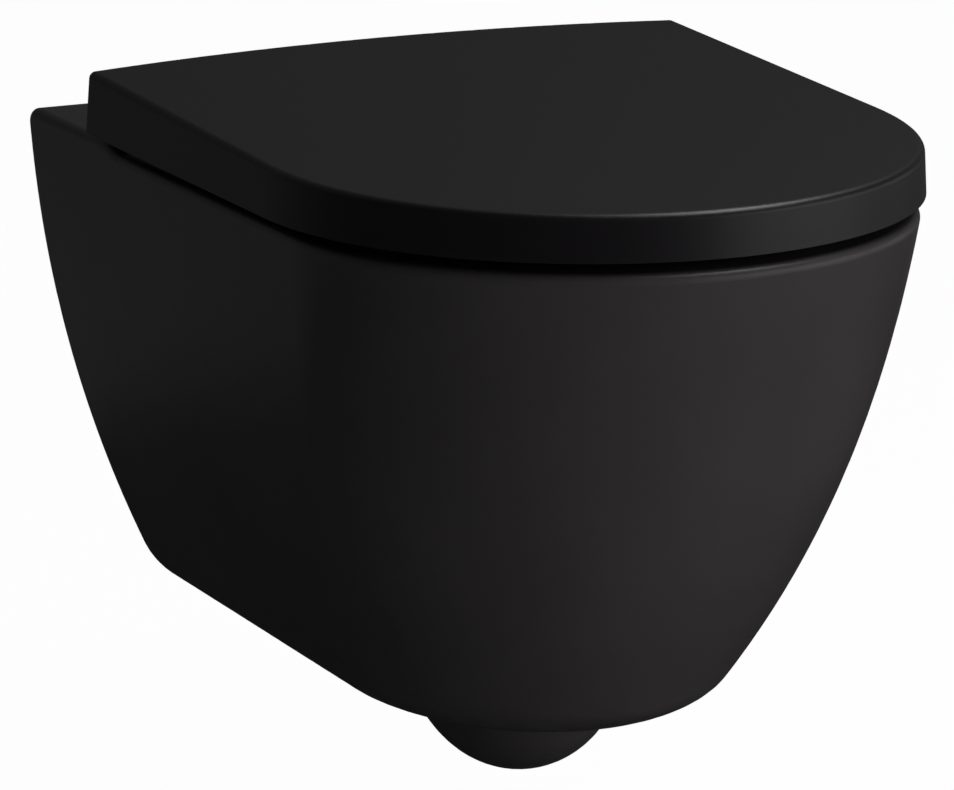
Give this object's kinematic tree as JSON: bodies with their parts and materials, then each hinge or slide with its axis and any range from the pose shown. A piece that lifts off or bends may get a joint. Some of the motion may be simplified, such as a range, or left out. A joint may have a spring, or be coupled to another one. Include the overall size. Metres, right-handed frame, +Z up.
{
  "type": "wall hung toilet",
  "caption": "Matte black rimless toilet pan that bolts to a wall frame, with a flat wrap-over lid and a seat ring on soft-close quick-release hinges.",
  "frame": {"origin": "middle of the two wall bolts, on the wall face", "axes": "+X to the right of a person facing the toilet, +Y into the wall, +Z up"},
  "size_m": [0.3786, 0.5366, 0.3915],
  "materials": {
    "glaze": "satin-matte black glaze",
    "seat_shell": "matte black moulded thermoset",
    "buffer_rubber": "soft black rubber",
    "damper_body": "grey sealed cartridge",
    "bearing_nylon": "natural nylon",
    "bracket_nylon": "glass-filled nylon",
    "zinc_steel": "zinc-plated steel",
    "hinge_steel": "satin stainless steel",
    "hinge_black": "black coated zinc casting",
    "button_plastic": "grey acetal",
    "spring_steel": "bright spring wire"
  },
  "bodies": {
    "pan": {"ceramic_pan": "glaze", "fixing_bracket_left": "bracket_nylon", "fixing_bracket_right": "bracket_nylon", "fixing_screw_left": "zinc_steel", "fixing_screw_right": "zinc_steel", "fixing_nut_left": "zinc_steel", "fixing_nut_right": "zinc_steel", "hinge_base_left": "hinge_steel", "hinge_base_right": "hinge_steel", "hinge_post_left": "hinge_black", "hinge_post_right": "hinge_black", "hinge_pin_left": "hinge_steel", "hinge_pin_right": "hinge_steel", "hinge_bolt_left": "zinc_steel", "hinge_bolt_right": "zinc_steel", "hinge_nut_left": "bearing_nylon", "hinge_nut_right": "bearing_nylon", "expansion_plug_left": "buffer_rubber", "expansion_plug_right": "buffer_rubber", "release_spring_left": "spring_steel", "release_spring_right": "spring_steel"},
    "seat": {"seat_ring": "seat_shell", "seat_buffers": "buffer_rubber", "seat_damper": "damper_body", "seat_bush": "bearing_nylon"},
    "lid": {"lid_shell": "seat_shell", "lid_buffers": "buffer_rubber", "lid_damper": "damper_body", "lid_bush": "bearing_nylon"},
    "button_left": {"release_button_left": "button_plastic"},
    "button_right": {"release_button_right": "button_plastic"}
  },
  "joints": [
    {"name": "seat_hinge", "type": "hinge", "parent": "pan", "child": "seat", "pos_m": [0, -0.086, 0.111], "axis": [-1, 0, 0], "range_deg": [0, 92]},
    {"name": "lid_hinge", "type": "hinge", "parent": "seat", "child": "lid", "pos_m": [0, -0.086, 0.111], "axis": [-1, 0, 0], "range_deg": [0, 92]},
    {"name": "release_left", "type": "slide", "parent": "pan", "child": "button_left", "axis": [0, -1, 0], "range_m": [0, 0.0016], "stiffness_N_per_m": 400, "springref_m": -0.001, "deforming": ["release_spring_left"]},
    {"name": "release_right", "type": "slide", "parent": "pan", "child": "button_right", "axis": [0, -1, 0], "range_m": [0, 0.0016], "stiffness_N_per_m": 400, "springref_m": -0.001, "deforming": ["release_spring_right"]}
  ]
}
